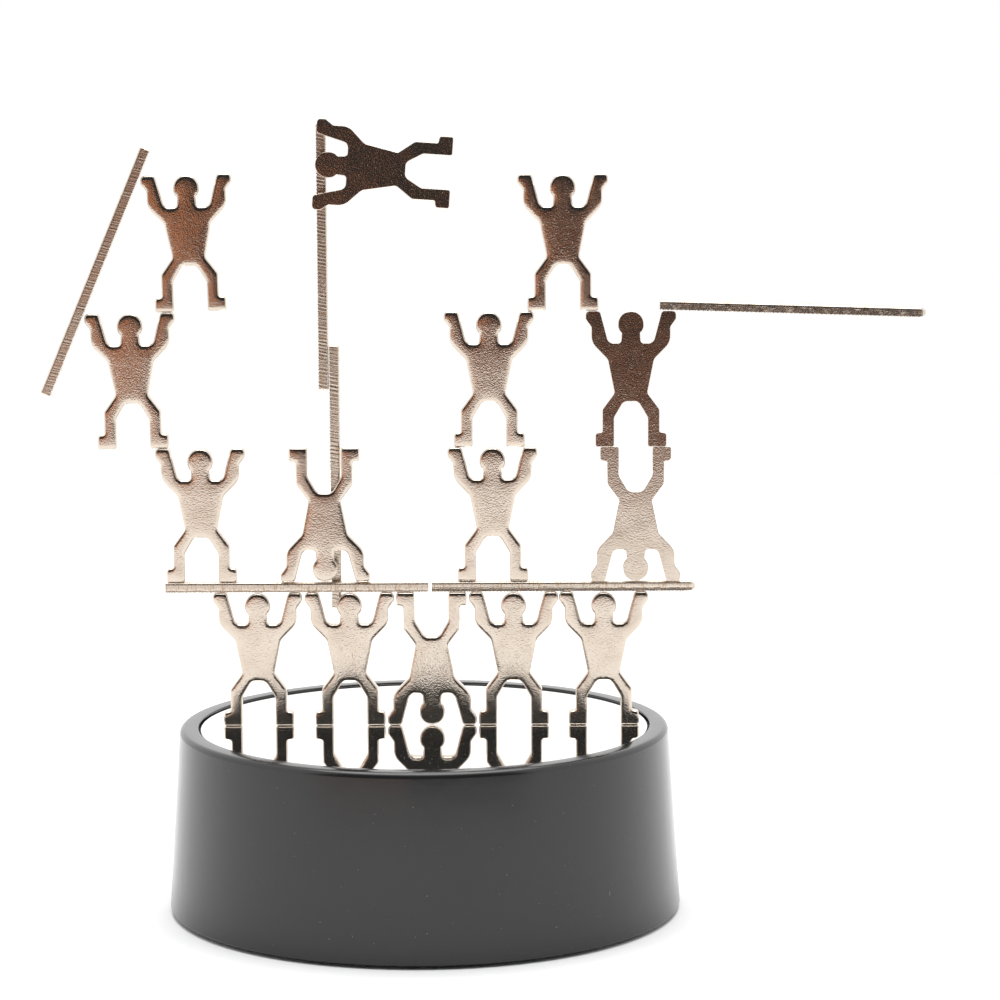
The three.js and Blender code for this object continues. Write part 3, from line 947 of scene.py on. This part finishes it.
def studio_world(settings):
    """White surroundings with an unlit room in front, which the camera itself sees as plain white.

    A direction's height is its z and its bearing the angle of (x, -y). The room is where the bearing is
    near nought and the height lies between the table and the lights overhead. Its colour runs upwards from
    a low brown glow to near black, with a warmer light at its left."""
    world = bpy.data.worlds.new("studio")
    bpy.context.scene.world = world
    world.use_nodes = True
    tree = world.node_tree
    tree.nodes.clear()

    def eased(value, low, high, to_low=0.0, to_high=1.0):
        inputs = {"Value": value, "From Min": low, "From Max": high, "To Min": to_low, "To Max": to_high}
        node = add_node(tree, "ShaderNodeMapRange", inputs, interpolation_type="SMOOTHSTEP")
        return node.outputs["Result"]

    def maths(operation, first, second):
        return add_node(tree, "ShaderNodeMath", {0: first, 1: second}, operation=operation).outputs[0]

    direction = add_node(tree, "ShaderNodeTexCoord").outputs["Generated"]
    parts = add_node(tree, "ShaderNodeSeparateXYZ", {"Vector": direction}).outputs
    toward = maths("MULTIPLY", parts["Y"], -1.0)
    bearing = maths("ARCTAN2", parts["X"], toward)
    right_fade = eased(bearing, ROOM_EDGE - ROOM_FADE, ROOM_EDGE, 1.0, 0.0)
    left_fade = eased(bearing, -ROOM_EDGE, ROOM_FADE - ROOM_EDGE)
    low_fade = eased(parts["Z"], *ROOM_FLOOR)
    high_fade = eased(parts["Z"], *ROOM_CEILING, 1.0, 0.0)
    between_sides = maths("MULTIPLY", right_fade, left_fade)
    inside = maths("MULTIPLY", between_sides, maths("MULTIPLY", low_fade, high_fade))
    rise = eased(parts["Z"], *LOW_GLOW_SPAN)
    glow = {"Factor": rise, "A": (*settings.floor_glow, 1.0), "B": (*settings.room_colour, 1.0)}
    beside = eased(bearing, *SIDE_GLOW_SPAN, 1.0, 0.0)
    side_foot = eased(parts["Z"], *SIDE_GLOW_FOOT)
    side_top = eased(parts["Z"], *SIDE_GLOW_RISE, 1.0, 0.0)
    warmth = maths("MULTIPLY", beside, maths("MULTIPLY", side_foot, side_top))
    warm = {"Factor": warmth, "A": mix_colours(tree, glow), "B": (*settings.side_glow, 1.0)}
    white = (settings.studio_strength,) * 3
    seen = mix_colours(tree, {"Factor": inside, "A": (*white, 1.0), "B": mix_colours(tree, warm)})
    reflected = add_node(tree, "ShaderNodeBackground", {"Color": seen, "Strength": 1.0})
    plain = add_node(tree, "ShaderNodeBackground", {"Color": (1.0, 1.0, 1.0, 1.0), "Strength": 1.0})
    camera_ray = add_node(tree, "ShaderNodeLightPath").outputs["Is Camera Ray"]
    sides = {0: camera_ray, 1: reflected.outputs[0], 2: plain.outputs[0]}
    mixed = add_node(tree, "ShaderNodeMixShader", sides)
    add_node(tree, "ShaderNodeOutputWorld", {"Surface": mixed.outputs[0]})


def overhead_light(settings):
    """One large soft light above the sculpture."""
    lamp = bpy.data.lights.new("overhead", "AREA")
    lamp.shape = "DISK"
    lamp.size = OVERHEAD_SIZE
    lamp.energy = settings.overhead_strength
    light = bpy.data.objects.new("overhead", lamp)
    light.location = OVERHEAD_PLACE
    bpy.context.scene.collection.objects.link(light)


def white_floor(settings):
    """A wide round sheet under the base."""
    radii = np.linspace(FLOOR_RADIUS / FLOOR_RINGS, FLOOR_RADIUS, FLOOR_RINGS) / MM
    top = np.stack([radii, np.full(FLOOR_RINGS, -FLOOR_SINK)], axis=-1)
    under = top[::-1] - (0.0, FLOOR_THICKNESS)
    mesh = turned("floor", under[-1:], under[:1], top[-1:], top[:1])
    mesh.materials.append(dull_stuff("floor_paper", settings.floor_colour))
    floor = bpy.data.objects.new("floor", mesh)
    bpy.context.scene.collection.objects.link(floor)


def front_camera():
    """The camera in front of the sculpture, a little above its middle and tipped down."""
    ahead = np.array([
        math.sin(CAMERA_YAW) * math.cos(CAMERA_PITCH),
        math.cos(CAMERA_YAW) * math.cos(CAMERA_PITCH),
        -math.sin(CAMERA_PITCH),
    ])
    level = np.array([math.cos(CAMERA_YAW), -math.sin(CAMERA_YAW), 0.0])
    upright = np.cross(level, ahead)
    right = math.cos(CAMERA_ROLL) * level + math.sin(CAMERA_ROLL) * upright
    up = math.cos(CAMERA_ROLL) * upright - math.sin(CAMERA_ROLL) * level
    lens = bpy.data.cameras.new("front")
    lens.sensor_width = SENSOR_WIDTH
    lens.lens = LENS
    camera = bpy.data.objects.new("front", lens)
    turn = Matrix(np.stack([right, up, -ahead], axis=1).tolist()).to_4x4()
    camera.matrix_world = Matrix.Translation([part * MM for part in CAMERA_PLACE]) @ turn
    bpy.context.scene.collection.objects.link(camera)
    bpy.context.scene.camera = camera


# ================================================================ operators, panel and main


def add_piece(mesh, material, node, body):
    """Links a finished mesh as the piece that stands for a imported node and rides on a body."""
    mesh.materials.append(material)
    piece = bpy.data.objects.new(mesh.name, mesh)
    bpy.context.scene.collection.objects.link(piece)
    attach(piece, body)
    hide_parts(node)


class SCULPTURE_OT_acrobats(bpy.types.Operator):
    """Makes the fifteen stamped acrobats"""

    bl_idname = "sculpture.acrobats"
    bl_label = "Acrobats"

    def execute(self, context):
        settings = context.scene.sculpture_acrobats
        plating = nickel_plate(settings)
        form = acrobat_form(settings, acrobat_thickness(FIGURES[0]))
        for number, node in enumerate(FIGURES):
            add_piece(stamped_acrobat(node, number, form), plating, node, node)
        return {"FINISHED"}


class SCULPTURE_OT_bars(bpy.types.Operator):
    """Makes the six sheared bars"""

    bl_idname = "sculpture.bars"
    bl_label = "Bars"

    def execute(self, context):
        steel = sheared_steel(context.scene.sculpture_bars)
        for number, node in enumerate(BARS):
            add_piece(sheared_bar(node, number), steel, node, node)
        return {"FINISHED"}


class SCULPTURE_OT_shell(bpy.types.Operator):
    """Makes the moulded base shell"""

    bl_idname = "sculpture.shell"
    bl_label = "Base shell"

    def execute(self, context):
        plastic = shell_plastic(context.scene.sculpture_base)
        add_piece(moulded_shell(base_sizes()), plastic, "base_shell", BASE_BODY)
        return {"FINISHED"}


class SCULPTURE_OT_plate(bpy.types.Operator):
    """Makes the mirror plate"""

    bl_idname = "sculpture.plate"
    bl_label = "Mirror plate"

    def execute(self, context):
        polish = mirror_polish(context.scene.sculpture_base)
        add_piece(polished_plate(base_sizes()), polish, "mirror_plate", BASE_BODY)
        return {"FINISHED"}


class SCULPTURE_OT_magnet(bpy.types.Operator):
    """Makes the ferrite magnet inside the base"""

    bl_idname = "sculpture.magnet"
    bl_label = "Magnet"

    def execute(self, context):
        ferrite = dull_stuff("sintered_ferrite", context.scene.sculpture_base.ferrite_colour)
        mesh = chamfered_disc("pressed_ferrite_magnet", *base_sizes()["magnet"], MAGNET_CHAMFER)
        add_piece(mesh, ferrite, "ferrite_magnet", BASE_BODY)
        return {"FINISHED"}


class SCULPTURE_OT_cover(bpy.types.Operator):
    """Makes the inner cover that closes the base"""

    bl_idname = "sculpture.cover"
    bl_label = "Inner cover"

    def execute(self, context):
        plastic = dull_stuff("cover_plastic", context.scene.sculpture_base.closure_colour)
        add_piece(inner_cover(base_sizes()), plastic, "base_closure", BASE_BODY)
        return {"FINISHED"}


class SCULPTURE_OT_pad(bpy.types.Operator):
    """Makes the rubber pad under the base"""

    bl_idname = "sculpture.pad"
    bl_label = "Foot pad"

    def execute(self, context):
        rubber = dull_stuff("pad_rubber", context.scene.sculpture_base.pad_colour)
        mesh = chamfered_disc("rubber_foot_pad", *base_sizes()["pad"], SMALL_ROUND)
        add_piece(mesh, rubber, "foot_pad", BASE_BODY)
        return {"FINISHED"}


class SCULPTURE_OT_stage(bpy.types.Operator):
    """Makes the floor, the surroundings, the light and the camera"""

    bl_idname = "sculpture.stage"
    bl_label = "Stage"

    def execute(self, context):
        settings = context.scene.sculpture_stage
        context.scene.view_settings.view_transform = "Standard"
        studio_world(settings)
        overhead_light(settings)
        white_floor(settings)
        front_camera()
        return {"FINISHED"}


OPERATORS = (
    SCULPTURE_OT_acrobats,
    SCULPTURE_OT_bars,
    SCULPTURE_OT_shell,
    SCULPTURE_OT_plate,
    SCULPTURE_OT_magnet,
    SCULPTURE_OT_cover,
    SCULPTURE_OT_pad,
    SCULPTURE_OT_stage,
)


class SCULPTURE_PT_sidebar(bpy.types.Panel):
    """Lists the sculpture's operators in the sidebar"""

    bl_label = "Desk sculpture"
    bl_idname = "SCULPTURE_PT_sidebar"
    bl_space_type = "VIEW_3D"
    bl_region_type = "UI"
    bl_category = "Sculpture"

    def draw(self, context):
        for name in SETTINGS:
            for key in SETTINGS[name].__annotations__:
                self.layout.prop(getattr(context.scene, name), key)
        for operator in OPERATORS:
            self.layout.operator(operator.bl_idname)


SETTINGS = {
    "sculpture_acrobats": AcrobatSettings,
    "sculpture_bars": BarSettings,
    "sculpture_base": BaseSettings,
    "sculpture_stage": StageSettings,
}
CLASSES = (*SETTINGS.values(), *OPERATORS, SCULPTURE_PT_sidebar)


def register():
    """Registers the classes and hangs each group of settings on the scene."""
    for made in CLASSES:
        bpy.utils.register_class(made)
    for name, group in SETTINGS.items():
        setattr(bpy.types.Scene, name, bpy.props.PointerProperty(type=group))


def unregister():
    """Undoes register()."""
    for name in SETTINGS:
        delattr(bpy.types.Scene, name)
    for made in reversed(CLASSES):
        bpy.utils.unregister_class(made)


def main():
    """Runs every operator once."""
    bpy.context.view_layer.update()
    register()
    for operator in OPERATORS:
        family, action = operator.bl_idname.split(".")
        getattr(getattr(bpy.ops, family), action)()


if __name__ == "__main__":
    main()
